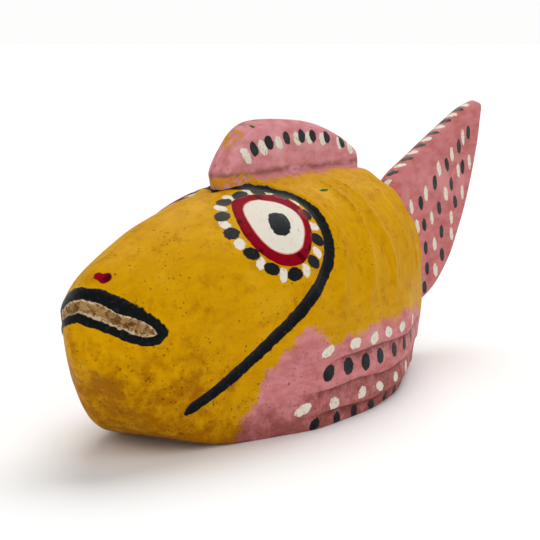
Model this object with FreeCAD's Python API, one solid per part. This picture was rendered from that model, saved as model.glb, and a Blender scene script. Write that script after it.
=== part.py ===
"""Guiro carved from wood as a fish, with a scraper stored in it.

Millimetres. +X runs from the nose to the tail, -Y is the fish's left side, +Z is up.
The origin is on the surface that the fish stands on, under the middle of its box.
Distances called "s" are measured along X from the tip of the nose.
"""
import FreeCAD, Part
import math
import os

V = FreeCAD.Vector

# ---------------------------------------------------------------- driving dimensions
LENGTH = 350.0            # nose to the tip of the tail
NOSE_X = -LENGTH / 2

# The carved block at stations from the nose: s, top line, half width, height of the
# widest point, height of the underside, half width of the underside as a share of the half width.
# The underside is then cut flat at z = 0, so it reaches just below that where the fish stands.
BLOCK_STATIONS = [
    (0, 50.5, 2, 50, 42, 0.39),
    (3, 60.5, 8, 52, 36, 0.38),
    (12, 70, 16, 53, 28, 0.42),
    (30, 77.5, 26.5, 51, 9, 0.48),
    (52, 85, 32.5, 47.5, 1.5, 0.66),
    (66, 88, 36.5, 46, -0.5, 0.74),
    (77, 90, 40, 44.5, -0.5, 0.80),
    (102, 93, 46, 42, -0.5, 0.90),
    (137, 93.5, 46.5, 40.5, -0.5, 0.92),
    (172, 93.5, 43.5, 39.5, -0.5, 0.86),
    (207, 91, 32, 37.5, -0.5, 0.79),
    (237, 78.5, 21, 34, 9.5, 0.70),
    (262, 61.5, 8, 31, 22, 0.56),
]
TOP, HALF_WIDTH, WIDEST, UNDERSIDE, BASE_SHARE = range(1, 6)
BLOCK_END = BLOCK_STATIONS[-1][0]

# Exponent of the section's upper arc: under 2 is peaked, 2 is an ellipse, more is squarer.
# The head is peaked, and the trunk is full.
NOSE_ROUNDNESS = 1.5
EYE_ROUNDNESS = 1.75
TRUNK_ROUNDNESS = 2.25
EYE_STATION = 82.0
TRUNK_STATION = 142.0

HEAD_LOFT_STATIONS = [0, 3, 8, 16, 28, 42, 56, 72, 87, 102, 117]
RIB_CRESTS = [117, 140, 164, 190, 216, 240]
RIB_DEPTH = 2.0           # depth of the hollows between the ribs
RIB_FOOT = 37.0           # below this height the sides have no ribs
RIB_FULL = 50.0

LIP_RISE = 1.0
MOUTH_DEPTH = 3.0
MOUTH_REACH = 34.0        # how far back from the nose the mouth is cut
# The drooping mouth seen from the front: half width, height of its corners, and the
# heights of its upper and lower edges at the middle
LIPS_OUTLINE = (23.0, 46.0, 64.5, 52.5)
RECESS_OUTLINE = (19.0, 48.5, 61.0, 56.0)

LAP_EDGES = [27.0, 15.5, 6.0]   # lower edges of the lapped strips on the flanks
LAP_START = [90, 84, 78]
LAP_END = 222.0
LAP_NOTCH = 3.0           # height of a notch at its mouth, outside the skin
LAP_DEPTH = 1.2
LAP_SPANS = 8

BOARD_FRONT = 72.0
BOARD_REAR = 200.0
BOARD_RECESS = 1.0        # the belly board sits this far above the rim
BOARD_THICK = 5.0
BOARD_TOP = BOARD_RECESS + BOARD_THICK
RIM = 7.0                 # width of the rim around the belly board
LEDGE = 5.0               # width of the ledge that the belly board is pinned to
CHAMBER_TOP = 72.0
CHAMBER_SHOULDER = 40.0
CHAMBER_DOME_INSET = 10.0

SOUND_HOLE_RADIUS = 14.5
SOUND_HOLES = [106, 166]
PIN_RADIUS = 1.5
PIN_LENGTH = 14.0
PIN_STATIONS = [86, 119, 152, 185]

FIN_FRONT = 92.0
FIN_REAR = 211.0
FIN_TOP = 118.0
FIN_HALF_FRONT = 7.0      # half thickness of the dorsal fin at its front and rear ends
FIN_HALF_REAR = 4.0
FIN_TONGUE_HALF = 3.0
FIN_TONGUE = (104.0, 202.0)
FIN_TONGUE_BOTTOM = 82.0
DOWEL_RADIUS = 2.5
DOWELS = [124, 180]
DOWEL_SPAN = (77.0, 105.0)

TAIL_FRONT = 236.0
TAIL_HALF_ROOT = 5.0
TAIL_HALF_TIP = 3.0
TENON_HALF = 3.0
TENON_FRONT = 242.0
TENON_SPAN = (29.0, 60.0)
PEG_RADIUS = 2.5
PEG_STATION = 252.0
PEG_HEIGHTS = [38, 52]

STICK_RADIUS = 4.5
STICK_HEIGHT = 15.0
STICK_FRONT = 59.0
STICK_REAR = 272.0
STICK_TAPER = 30.0
STICK_POINT_RADIUS = 3.0
SOCKET_FRONT = 58.0
STICK_CLEARANCE = 0.08


# ---------------------------------------------------------------- helpers
def at(s, y, z):
    """A point from its distance behind the nose."""
    return V(NOSE_X + s, y, z)


def station_value(column, s):
    """One column of BLOCK_STATIONS at s, as a monotone cubic over the root of s."""
    u = [math.sqrt(row[0]) for row in BLOCK_STATIONS]
    v = [row[column] for row in BLOCK_STATIONS]
    slope = [(v[i + 1] - v[i]) / (u[i + 1] - u[i]) for i in range(len(u) - 1)]
    tangent = [slope[0]]
    for i in range(1, len(slope)):
        before, after = slope[i - 1], slope[i]
        tangent.append(0 if before * after <= 0 else 2 * before * after / (before + after))
    tangent.append(slope[-1])
    q = math.sqrt(min(max(s, 0), BLOCK_END))
    i = max(k for k in range(len(slope)) if u[k] <= q or k == 0)
    span = u[i + 1] - u[i]
    t = (q - u[i]) / span
    start = v[i] * (1 + 2 * t) * (1 - t) ** 2 + v[i + 1] * t * t * (3 - 2 * t)
    return start + span * t * (1 - t) * (tangent[i] * (1 - t) - tangent[i + 1] * t)


def base_half_width(s):
    return station_value(HALF_WIDTH, s) * station_value(BASE_SHARE, s)


def roundness(s):
    if s < EYE_STATION:
        share = s / EYE_STATION
        return NOSE_ROUNDNESS + share * (EYE_ROUNDNESS - NOSE_ROUNDNESS)
    share = min((s - EYE_STATION) / (TRUNK_STATION - EYE_STATION), 1)
    return EYE_ROUNDNESS + share * (TRUNK_ROUNDNESS - EYE_ROUNDNESS)


def flank_half_width(s, z):
    """Half width of the block below its widest point."""
    half = station_value(HALF_WIDTH, s)
    widest = station_value(WIDEST, s)
    depth = (widest - z) / (widest - station_value(UNDERSIDE, s))
    base = base_half_width(s)
    return base + (half - base) * math.sqrt(1 - min(max(depth, 0), 1) ** 2)


def half_section(s, grow, rib_dip):
    """Points from the top centre round the right side to the edge of the underside."""
    top = station_value(TOP, s) + grow
    half = station_value(HALF_WIDTH, s) + grow
    widest = station_value(WIDEST, s)
    bottom = station_value(UNDERSIDE, s)
    base = base_half_width(s) + grow
    power = 2 / roundness(s)
    points = []
    for k in range(13):
        t = math.pi / 2 * k / 12
        y = half * math.sin(t) ** power
        z = widest + (top - widest) * max(math.cos(t), 0) ** power
        fade = min(max((z - RIB_FOOT) / (RIB_FULL - RIB_FOOT), 0), 1)
        shrink = 1 - rib_dip * fade / half
        points.append((y * shrink, widest + (z - widest) * shrink))
    for k in range(1, 8):
        t = k / 7
        y = base + (half - base) * math.sqrt(1 - t * t)
        points.append((y, widest - (widest - bottom) * t))
    return points


def section_wire(s, grow=0.0, rib_dip=0.0):
    half = half_section(s, grow, rib_dip)
    ring = [at(s, y, z) for y, z in reversed(half)] + [at(s, -y, z) for y, z in half[1:]]
    steps = len(ring) - 1
    curve = Part.BSplineCurve()
    curve.interpolate(Points=ring, Parameters=[k / steps for k in range(steps + 1)])
    floor = Part.makeLine(ring[-1], ring[0])
    return Part.Wire([curve.toShape(), floor])


def block_loft(stations, grow=0.0):
    return Part.makeLoft([section_wire(s, grow) for s in stations], True, False)


def prism_y(outline, half):
    """A closed outline in the XZ plane, thickened equally to both sides."""
    face = Part.Face(Part.Wire(outline))
    face.translate(V(0, -half, 0))
    return face.extrude(V(0, 2 * half, 0))


def taper_plan(front, half_front, rear, half_rear, height):
    """A tall wedge in plan that thins a fin from one end to the other."""
    corners = [at(front, -half_front, 0), at(rear, -half_rear, 0)]
    corners += [at(rear, half_rear, 0), at(front, half_front, 0)]
    return Part.Face(Part.makePolygon(corners + corners[:1])).extrude(V(0, 0, height))


def spline_edge(points):
    curve = Part.BSplineCurve()
    curve.interpolate([at(s, 0, z) for s, z in points])
    return curve.toShape()


def bar_x(radius, front, rear, height):
    return Part.makeCylinder(radius, rear - front, at(front, 0, height), V(1, 0, 0))


# ---------------------------------------------------------------- the carved block
def block_outside():
    """The head in one smooth loft, then one hollowed bay between each two ribs."""
    block = block_loft(HEAD_LOFT_STATIONS)
    ground = Part.makeBox(LENGTH, 120, 10, at(0, -60, -10))
    ridges = RIB_CRESTS + [BLOCK_END]
    for front, rear in zip(ridges, ridges[1:]):
        hollow = section_wire((front + rear) / 2, rib_dip=RIB_DEPTH)
        bay = [section_wire(front), hollow, section_wire(rear)]
        block = block.fuse(Part.makeLoft(bay, True, False))
    return block.cut(ground)


def mouth_prism(outline):
    """A lens with drooping corners, seen from the front, run back through the snout."""
    half, corner, upper, lower = outline
    right, left = at(-5, half, corner), at(-5, -half, corner)
    over = Part.Arc(left, at(-5, 0, upper), right)
    under = Part.Arc(right, at(-5, 0, lower), left)
    face = Part.Face(Part.Wire([over.toShape(), under.toShape()]))
    return face.extrude(V(MOUTH_REACH + 5, 0, 0))


def lap_notches():
    """Wedges cut along the flanks, so that each strip laps over the one below."""
    notches = []
    for edge, start in zip(LAP_EDGES, LAP_START):
        step = (LAP_END - start) / LAP_SPANS
        stations = [start + step * k for k in range(LAP_SPANS + 1)]
        for side in (-1, 1):
            wires = [lap_wedge(s, side, edge) for s in stations]
            notches.append(Part.makeLoft(wires, True, False))
    return notches


def lap_wedge(s, side, edge):
    skin = flank_half_width(s, edge)
    clear = skin + 6
    root = at(s, side * (skin - LAP_DEPTH), edge)
    above = at(s, side * clear, edge + 0.4)
    below = at(s, side * clear, edge - LAP_NOTCH)
    return Part.makePolygon([root, above, below, root])


def board_outline(inset, z, end_inset=None):
    """The belly board's outline, which follows the edge of the underside."""
    end_inset = inset if end_inset is None else end_inset
    front = BOARD_FRONT + end_inset
    rear = BOARD_REAR - end_inset
    stations = [front + (rear - front) * k / 6 for k in range(7)]
    right = [at(s, base_half_width(s) - RIM - inset, z) for s in stations]
    left = [V(p.x, -p.y, p.z) for p in right]
    right_edge = Part.BSplineCurve()
    right_edge.interpolate(right)
    left_edge = Part.BSplineCurve()
    left_edge.interpolate(left[::-1])
    rear_end = Part.makeLine(right[-1], left[-1])
    front_end = Part.makeLine(left[0], right[0])
    return Part.Wire([right_edge.toShape(), rear_end, left_edge.toShape(), front_end])


def chamber():
    levels = [board_outline(LEDGE, -1), board_outline(LEDGE, CHAMBER_SHOULDER)]
    levels.append(board_outline(LEDGE + CHAMBER_DOME_INSET, CHAMBER_TOP))
    return Part.makeLoft(levels, True, True)


def board_seat():
    return Part.Face(board_outline(0, -1)).extrude(V(0, 0, BOARD_TOP + 1))


def fin_tongue():
    front, rear = FIN_TONGUE
    width = 2 * FIN_TONGUE_HALF
    corner = at(front, -FIN_TONGUE_HALF, FIN_TONGUE_BOTTOM)
    return Part.makeBox(rear - front, width, 22, corner)


def tail_tenon():
    low, high = TENON_SPAN
    corner = at(TENON_FRONT, -TENON_HALF, low)
    return Part.makeBox(BLOCK_END + 6 - TENON_FRONT, 2 * TENON_HALF, high - low, corner)


def dowels():
    low, high = DOWEL_SPAN
    return [Part.makeCylinder(DOWEL_RADIUS, high - low, at(s, 0, low)) for s in DOWELS]


def pegs(outside):
    solids = []
    for height in PEG_HEIGHTS:
        start = at(PEG_STATION, -30, height)
        rod = Part.makeCylinder(PEG_RADIUS, 60, start, V(0, 1, 0))
        solids.append(rod.common(outside))
    return solids


def pins():
    solids = []
    for s in PIN_STATIONS:
        y = base_half_width(s) - RIM - LEDGE / 2
        for side in (-y, y):
            solids.append(Part.makeCylinder(PIN_RADIUS, PIN_LENGTH, at(s, side, BOARD_RECESS)))
    return solids


def body_shell(outside):
    lips = mouth_prism(LIPS_OUTLINE).common(block_loft(HEAD_LOFT_STATIONS[:6], LIP_RISE))
    core = block_loft(HEAD_LOFT_STATIONS[1:6], -MOUTH_DEPTH)
    block = outside.fuse(lips).cut(mouth_prism(RECESS_OUTLINE).cut(core))
    bore = bar_x(STICK_RADIUS + STICK_CLEARANCE, SOCKET_FRONT, BLOCK_END + 5, STICK_HEIGHT)
    cutters = lap_notches() + [chamber(), board_seat(), fin_tongue(), tail_tenon(), bore]
    return block.cut(cutters + dowels() + pegs(outside) + pins())


# ---------------------------------------------------------------- the fins
def dorsal_fin(outside):
    low = FIN_TONGUE_BOTTOM
    front = [(FIN_FRONT, low), (93.5, 99), (99, 108), (107, 115), (118, FIN_TOP)]
    back = [(118, FIN_TOP), (142, 117.5), (167, 115), (190, 109), (206, 103)]
    rear = [(206, 103), (210, 100), (FIN_REAR, 95), (FIN_REAR, low)]
    keel = Part.makeLine(at(FIN_REAR, 0, low), at(FIN_FRONT, 0, low))
    outline = [spline_edge(front), spline_edge(back), spline_edge(rear), keel]
    board = prism_y(outline, FIN_HALF_FRONT)
    taper = taper_plan(FIN_FRONT, FIN_HALF_FRONT, FIN_REAR, FIN_HALF_REAR, 130)
    return board.common(taper).cut(outside).fuse(fin_tongue()).cut(dowels())


def tail_fin(outside):
    front = [(TAIL_FRONT, 74), (244, 86), (266, 95), (302, 108), (326, 116), (342, 119)]
    tip = [(342, 119), (348.5, 118.5), (LENGTH, 114)]
    rear = [(LENGTH, 114), (346, 101), (339, 83), (327, 62), (313, 44), (296, 31), (282, 25)]
    foot = [(282, 25), (270, 23), (253, 24)]
    root = Part.makeLine(at(253, 0, 24), at(TAIL_FRONT, 0, 74))
    outline = [spline_edge(front), spline_edge(tip), spline_edge(rear), spline_edge(foot), root]
    board = prism_y(outline, TAIL_HALF_ROOT)
    taper = taper_plan(TAIL_FRONT, TAIL_HALF_ROOT, LENGTH, TAIL_HALF_TIP, 130)
    return board.common(taper).cut(outside).fuse(tail_tenon()).cut(pegs(outside))


# ---------------------------------------------------------------- the smaller pieces
def belly_board():
    board = Part.Face(board_outline(0, BOARD_RECESS)).extrude(V(0, 0, BOARD_THICK))
    holes = [Part.makeCylinder(SOUND_HOLE_RADIUS, 20, at(s, 0, -5)) for s in SOUND_HOLES]
    return board.cut(holes + pins())


def scraper():
    """A straight round stick with a tapered front end and a rounded grip end."""
    taper_end = STICK_FRONT + STICK_TAPER
    point = Part.makeCone(STICK_POINT_RADIUS, STICK_RADIUS, STICK_TAPER,
                          at(STICK_FRONT, 0, STICK_HEIGHT), V(1, 0, 0))
    shaft = bar_x(STICK_RADIUS, taper_end, STICK_REAR, STICK_HEIGHT)
    grip_edge = [e for e in shaft.Edges if e.CenterOfMass.x > NOSE_X + STICK_REAR - 0.1]
    return point.fuse(shaft.makeFillet(2.5, grip_edge)).removeSplitter()


def write(name, shape):
    solids = shape.Solids
    result = solids[0] if len(solids) == 1 else Part.Compound(solids)
    result.exportStep(os.path.join("parts", name + ".step"))
    print(name, len(solids), "solids", round(result.Volume / 1000, 1), "cm3", result.isValid())


def main():
    os.makedirs("parts", exist_ok=True)
    outside = block_outside()
    write("body_shell", body_shell(outside))
    write("belly_board", belly_board())
    write("belly_board_pins", Part.Compound(pins()))
    write("dorsal_fin", dorsal_fin(outside))
    write("dorsal_fin_dowels", Part.Compound(dowels()))
    write("tail_fin", tail_fin(outside))
    write("tail_fin_pegs", Part.Compound(pegs(outside)))
    write("scraper", scraper())


main()
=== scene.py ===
"""Looks of the carved wooden fish guiro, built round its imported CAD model.

The frame is in metres. The shapes and marks below are worked out in millimetres and scaled
by MM when a mesh is made. "s" is the distance behind the tip of the nose, and "a" is the
distance down the skin from the middle of the back.
"""
import bpy
import bmesh
import math
import numpy as np
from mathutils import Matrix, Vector, noise
from mathutils.kdtree import KDTree


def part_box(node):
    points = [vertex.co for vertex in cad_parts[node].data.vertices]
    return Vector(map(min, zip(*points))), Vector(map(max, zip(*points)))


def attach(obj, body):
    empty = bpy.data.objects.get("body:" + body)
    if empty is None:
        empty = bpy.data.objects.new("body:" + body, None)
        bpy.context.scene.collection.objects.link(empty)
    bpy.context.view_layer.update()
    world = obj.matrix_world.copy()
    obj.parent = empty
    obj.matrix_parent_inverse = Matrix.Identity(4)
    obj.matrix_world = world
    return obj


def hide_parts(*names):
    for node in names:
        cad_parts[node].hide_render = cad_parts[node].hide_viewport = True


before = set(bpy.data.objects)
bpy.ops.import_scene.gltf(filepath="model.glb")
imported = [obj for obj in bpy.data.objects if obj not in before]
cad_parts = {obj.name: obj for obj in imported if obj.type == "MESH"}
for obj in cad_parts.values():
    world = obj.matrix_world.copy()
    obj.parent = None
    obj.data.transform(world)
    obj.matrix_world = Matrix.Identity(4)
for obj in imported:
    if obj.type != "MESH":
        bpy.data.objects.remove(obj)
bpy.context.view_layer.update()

MM = 0.001
NOSE_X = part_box("body_shell")[0].x / MM
BLOCK_END = 262.0
FAR = -30.0  # a mark's field, in mm, where the mark is far away
CURVE_STEPS = 12  # how many pieces a smooth line has between two of its points
FINE_STEPS = 16  # the same for the outlines of the fins

# The camera: degrees round from the fish's left side, degrees up, metres to its target
CAMERA_AZIMUTH, CAMERA_ELEVATION, CAMERA_DISTANCE = -60.03, 7.81, 0.7
CAMERA_TARGET = (-0.0415, 0, 0.0554)
LENS, SENSOR_WIDTH = 112.6, 36
# Each light: its direction from the fish, its width in degrees and its strength
LIGHTS = {"overhead": ((0.75, 0.2, 1.0), 48, 2.25), "front": ((-1.0, -0.6, 1.0), 70, 1.15)}
FLOOR_RADIUS, FLOOR_SIDES = 40000.0, 96
FLOOR_COLOUR, SKY_COLOUR = (0.92, 0.92, 0.915), (1.0, 0.998, 0.993)
# The sky's strength fades from the first to the second as the view's z goes over SKY_FADE
SKY_FADE, SKY_STRENGTHS = (0.06, 0.38), (0.985, 0.34)

# The carved block at stations from the nose, as in the CAD model: s, top line, half width,
# height of the widest point, height of the underside, its half width as a share
STATIONS = np.array([
    (0, 50.5, 2, 50, 42, 0.39),
    (3, 60.5, 8, 52, 36, 0.38),
    (12, 70, 16, 53, 28, 0.42),
    (30, 77.5, 26.5, 51, 9, 0.48),
    (52, 85, 32.5, 47.5, 1.5, 0.66),
    (66, 88, 36.5, 46, -0.5, 0.74),
    (77, 90, 40, 44.5, -0.5, 0.80),
    (102, 93, 46, 42, -0.5, 0.90),
    (137, 93.5, 46.5, 40.5, -0.5, 0.92),
    (172, 93.5, 43.5, 39.5, -0.5, 0.86),
    (207, 91, 32, 37.5, -0.5, 0.79),
    (237, 78.5, 21, 34, 9.5, 0.70),
    (BLOCK_END, 61.5, 8, 31, 22, 0.56),
])
TOP, HALF_WIDTH, WIDEST, UNDERSIDE, BASE_SHARE = range(1, 6)
ROUNDNESS = ([0, 82, 142], [1.5, 1.75, 2.25])  # of the upper section, by s; 2 is an ellipse

RING_STEP = 0.9
NOSE_STEP = 0.55  # finer over the snout, where the mouth is
NOSE_REACH = 34.0
ROWS = [82, 14, 12, 8, 8]  # top to first lap, between laps, to the edge, to the middle
CAP_RINGS = 4

RIBS_START = 96.0
RIB_CRESTS = [117, 138, 160, 187, 215, 240]
RIB_DEPTH = 2.2
RIB_LIFT = 1.2  # the crests stand this far above the plain block
RIB_FOOT, RIB_FULL = 38.0, 54.0
LAP_EDGES = [27.0, 15.5, 6.0]
LAP_STARTS = [96, 84, 86]
LAP_END = 236.0
LAP_DEPTHS = [1.68, 2.625, 2.1]
LAP_LIFT = 0.8
LAP_WANDER = 0.8
GILL_RIDGE, GILL_GROOVE = 0.9, 1.1
EYE_STEP, EYE_SWELL = 0.35, 0.5
LIP_HEIGHT, MOUTH_DEPTH = 0.5, 1.5
FIN_MOUND = 2.2  # the ridge of the block that the dorsal fin stands on
SKIN_GAP = 1.3  # a vertex farther than this from the carved skin is inside the block

GILL = [(87, -3), (92.5, 1.5), (96, 6.4), (103, 9.6), (110.5, 13), (115, 17.3), (117.2, 22),
        (118.4, 27.5), (118.2, 34), (116.2, 41.5), (112.8, 48), (109, 52.6), (104.5, 56.2),
        (98, 59.6), (87, 63.5), (66, 69.5), (48, 74), (36, 76)]
# The line's half width along it, by its points
GILL_HALF = ([0, 2, 8, 11, 14, 17], [1.5, 1.9, 2.5, 2.8, 3.1, 2.7])
RING_OUTER = [(84, 12), (90, 11.8), (97, 13.4), (104.5, 15.4), (110, 18.4), (112.6, 23.5),
              (113, 29), (110.5, 35), (106.5, 41), (100.5, 46), (94, 48.6), (88, 48), (82.5, 45.2),
              (78, 41), (75, 36), (73.5, 31), (74, 25), (78, 17.5)]
RING_INNER = [(86, 16.4), (91, 16), (97, 17.7), (102.5, 20.5), (106.3, 24.7), (108, 29.5),
              (106.6, 34.5), (102.4, 39.4), (96.5, 43.2), (91, 44), (85.6, 42), (81.6, 38.4),
              (79.4, 34), (78.8, 29), (80.2, 23.5), (82.6, 19)]
PUPIL = [(88, 28.6), (91.6, 25.6), (95.4, 26.4), (99.3, 28.7), (98.4, 32.6), (93.6, 36),
         (89.2, 35.7), (86.7, 32.7)]
EYE_CENTRE = (93, 30.5)
# The black marks round the eye: place, size and tilt. A white one sits between each two.
EYE_BLACKS = [(91.5, 11, 8.4, 4.6, 5), (81.5, 10, 8.4, 4.6, 5), (72.5, 15.5, 8.4, 5, 5),
              (69, 23.5, 8.4, 5, 10), (71, 34.5, 8.4, 5, 32), (76.5, 43.7, 8.4, 5, 32),
              (86.2, 50.5, 8.4, 5.4, 20), (99.3, 50.5, 8.4, 5.4, 20), (108.6, 42.8, 8, 6.2, 30),
              (112, 31, 8, 6, 0), (110.6, 18.8, 8, 5.6, 20), (102.4, 12.8, 8.4, 4.6, 14)]

# The mouth seen from the front, from its middle to its corner: y and z
LIPS_UPPER = [(0, 64.6), (4.5, 64), (8.6, 62.5), (12.5, 60.5), (15.7, 58.1), (18.8, 55.3),
              (21.1, 52.2), (23, 48.4)]
LIPS_LOWER = [(0, 52.7), (5.3, 51.3), (9.3, 49.2), (12.3, 47), (15.1, 44.9), (17.6, 43.8),
              (20.4, 43.8), (22.4, 46)]
WOOD_UPPER = [(0, 60.6), (5.8, 59.3), (9.4, 57.4), (12, 55.6), (15.3, 54.2), (17.7, 52.3),
              (19.2, 50.5), (20.6, 47.7)]
WOOD_LOWER = [(0, 56.2), (5.4, 54.4), (9.4, 52.5), (12.7, 50.3), (15, 48.5), (17.2, 47.1),
              (19.4, 46.8)]
NOSTRIL = [(-0.2, 68.7), (-1.4, 69.2), (-2.9, 68.8), (-4.3, 69.2), (-5.7, 68.2), (-6.1, 66.7),
           (-5.2, 65.8), (-4, 65.7), (-2.6, 66.6), (-1, 67.4)]

PINK_EDGE = [(58, 112), (60, 95), (64, 88.5), (69, 80.5), (75, 77.5), (81, 73.5), (88, 73),
             (96, 78), (101, 83), (117, 85.5), (138, 84.5), (160, 83.5), (192, 79), (225, 70),
             (270, 62), (270, 150), (58, 150)]
# Rows of dabs along the flank: height, first s, gaps between them, and the size along s and up
# of the first dab and of the last one
FLANK_DABS = {
    "black": [(22.3, 101, [15.5, 14, 13.5, 16.5, 14.5, 18], (8.0, 6.8), (5.0, 6.6)),
              (2.4, 96, [16, 14, 15.5, 16, 15, 15], (6.0, 5.0), (4.6, 5.0))],
    "white": [(31, 99.5, [21, 16, 14.5, 16.5, 19.5], (8.4, 4.5), (5.8, 4.9)),
              (9.5, 88, [19, 22.5, 16.5, 20, 22], (8.2, 4.4), (5.6, 4.6))],
}
# Single flecks and smears: place, length, width and tilt
BODY_FLECK = ((142.5, 21), 4.6, 2, 10)
FIN_FLECK = ((113, 115.8), 2.6, 1.3, -10)
FIN_SMEARS = [((102.5, 111.5), 11, 2.4, 36), ((99, 93.4), 22, 9, 4)]

FIN_TOP_LINE = [(92, 86), (92.3, 96), (94, 101), (99, 108), (107, 115), (118, 118), (142, 117.5),
                (167, 115), (190, 109), (205, 103), (209, 100), (210, 95), (210, 86)]
FIN_DABS_LINE = [(104, 105), (120, 108), (140, 109.5), (160, 109.3), (180, 107.2), (200, 102.8)]
# The fin's dabs: where each is along that line, their size, and how far above the line
FIN_DABS = {"white": ([104.5, 118, 131, 148, 158.5, 171, 188, 199], (7.8, 4.9), -0.5),
            "black": ([111, 123, 138.5, 152, 162, 175, 191], (7.4, 4.9), 0.5)}
# Half the fin's thickness by s, how it thins upwards by z, and the height of its crease by s;
# the crease is where a band of shade is painted
FIN_HALF = ([92, 180, 211], [7.0, 4.4, 2.8])
FIN_THINNING = ([100, 118], [1, 0.8])
FIN_CREASE = ([93, 130, 200], [97.2, 97.8, 96.4])
FIN_COLUMNS, FIN_ROWS = 210, 60
TAIL_FRONT = [(232, 66), (236, 74), (244, 86), (266, 95), (302, 108), (326, 116), (342, 119)]
TAIL_TIP = (349.5, 117.5)
TAIL_REAR = [(247, 24), (253, 24), (270, 23), (282, 25), (296, 31), (313, 44), (327, 62),
             (339, 83), (346, 101), (350, 114)]
# The tail's dabs: their size and places
TAIL_DABS = {
    "white": ((7.8, 4.0), [
        (323, 101), (309, 93), (293, 87), (277, 76), (261, 71), (331.5, 88), (318, 84.5), (302, 74),
        (284.5, 63.5), (268, 61), (323, 73), (309, 61.5), (289, 50), (310, 53), (290.5, 37), (262, 50)]),
    "black": ((7.4, 4.8), [
        (330, 103), (318, 96.5), (302.5, 88.5), (288.5, 80.5), (271.5, 72), (323, 86), (308.5, 78.5),
        (294, 67.5), (275.5, 61), (313.5, 69), (297, 55.5), (278, 49.5), (298, 44), (280.5, 39),
        (277.5, 30), (262, 39)]),
}
TAIL_EDGE_ENDS, TAIL_EDGE_MARKS = (330.0, 241.0), 13
TAIL_HALF = ([236, 350], [5.0, 3.0])
TAIL_COLUMNS, TAIL_ROWS = 170, 90

TAIL_PEGS = [(38, 14.2), (52, 11.2)]  # each one's height and half its length
STICK_RADII = [3.0, 4.42]  # at the point, and from 30 mm behind it
POINT_LENGTH, GRIP_LENGTH = 1.5, 2.6  # how far the stick's two ends are rounded
STICK_COLUMNS = 40


# ---- numbers and fields
def smoothstep(low, high, value):
    t = np.clip((value - low) / (high - low), 0, 1)
    return t * t * (3 - 2 * t)


def between(value, rise, fall):
    """1 between two ramps, each given by where it starts and ends, and 0 outside them."""
    return smoothstep(*rise, value) * (1 - smoothstep(*fall, value))


def curve_through(points, closed=False, steps=CURVE_STEPS):
    """A smooth line through given points (Catmull-Rom)."""
    p = np.asarray(points, float)
    if closed:
        p = np.vstack([p[-1], p, p[:2]])
    else:
        p = np.vstack([2 * p[0] - p[1], p, 2 * p[-1] - p[-2]])
    t = np.linspace(0, 1, steps, endpoint=False)[:, None]
    spans = []
    for a, b, c, d in zip(p, p[1:], p[2:], p[3:]):
        spans.append(0.5 * (2 * b + (c - a) * t + (2 * a - 5 * b + 4 * c - d) * t ** 2
                            + (3 * b - a - 3 * c + d) * t ** 3))
    line = np.vstack(spans)
    return line if closed else np.vstack([line, p[-2]])


def distance_to_line(points, line, closed=False):
    """Distance from each point to a polyline, and how far along it the nearest place is."""
    if closed:
        line = np.vstack([line, line[:1]])
    best = np.full(len(points), 1e9)
    place = np.zeros(len(points))
    for k, (a, b) in enumerate(zip(line, line[1:])):
        d = b - a
        t = np.clip((points - a) @ d / max(d @ d, 1e-9), 0, 1)
        gap = np.linalg.norm(points - a - t[:, None] * d, axis=1)
        nearer = gap < best
        best[nearer] = gap[nearer]
        place[nearer] = k + t[nearer]
    return best, place


def inside(points, outline):
    x, y = points.T
    result = np.zeros(len(points), bool)
    for (x1, y1), (x2, y2) in zip(outline, np.roll(outline, -1, axis=0)):
        crosses = (y1 > y) != (y2 > y)
        edge_x = x1 + (y - y1) * (x2 - x1) / (y2 - y1 if y2 != y1 else 1e-9)
        result ^= crosses & (x < edge_x)
    return result


def length_along(line):
    """How far along a polyline each of its points is."""
    return np.append(0, np.cumsum(np.linalg.norm(np.diff(line, axis=0), axis=1)))


def area_field(points, outline, reach=12.0):
    """Distance inside a closed outline, in mm, negative outside it."""
    field = np.full(len(points), FAR)
    low, high = outline.min(0) - reach, outline.max(0) + reach
    near = np.all((points > low) & (points < high), axis=1)
    gap = distance_to_line(points[near], outline, closed=True)[0]
    field[near] = np.where(inside(points[near], outline), gap, -gap)
    return field


def dab_field(points, centre, long, short, angle):
    """The same for one oval dab: its full length and width, and its tilt in degrees."""
    c, s = math.cos(math.radians(angle)), math.sin(math.radians(angle))
    d = points - np.asarray(centre)
    u, v = d[:, 0] * c + d[:, 1] * s, d[:, 1] * c - d[:, 0] * s
    r = np.hypot(u / (long / 2), v / (short / 2))
    return np.maximum((1 - r) * short / 2, FAR)


def join(fields):
    return np.max(fields, axis=0)


def unevenness(seed, size):
    """A repeatable number from -size to size."""
    return size * noise.noise(Vector((seed * 7.31, seed * 3.17 + 5, 0.5))) * 2


def noise_at(points, size):
    """Smooth noise from -1 to 1 at each point, with features of that size in mm."""
    return np.array([noise.noise(Vector(p) / size) for p in points])


def rounding(share):
    """How far a quarter circle has fallen away, for a share of its radius."""
    return 1 - math.sqrt(1 - share ** 2)


# ---- the block's surface
def station(column, s):
    """One column of STATIONS at s, as a monotone cubic over the root of s."""
    u, v = np.sqrt(STATIONS[:, 0]), STATIONS[:, column]
    slope = np.diff(v) / np.diff(u)
    tangent = np.concatenate([slope[:1], np.zeros(len(u) - 2), slope[-1:]])
    before, after = slope[:-1], slope[1:]
    same_way = before * after > 0
    mean = 2 * before * after / np.where(same_way, before + after, 1)
    tangent[1:-1] = np.where(same_way, mean, 0)
    q = np.sqrt(np.clip(s, 0, BLOCK_END))
    i = np.clip(np.searchsorted(u, q, side="right") - 1, 0, len(slope) - 1)
    span = u[i + 1] - u[i]
    t = (q - u[i]) / span
    start = v[i] * (1 + 2 * t) * (1 - t) ** 2 + v[i + 1] * t * t * (3 - 2 * t)
    return start + span * t * (1 - t) * (tangent[i] * (1 - t) - tangent[i + 1] * t)


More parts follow.
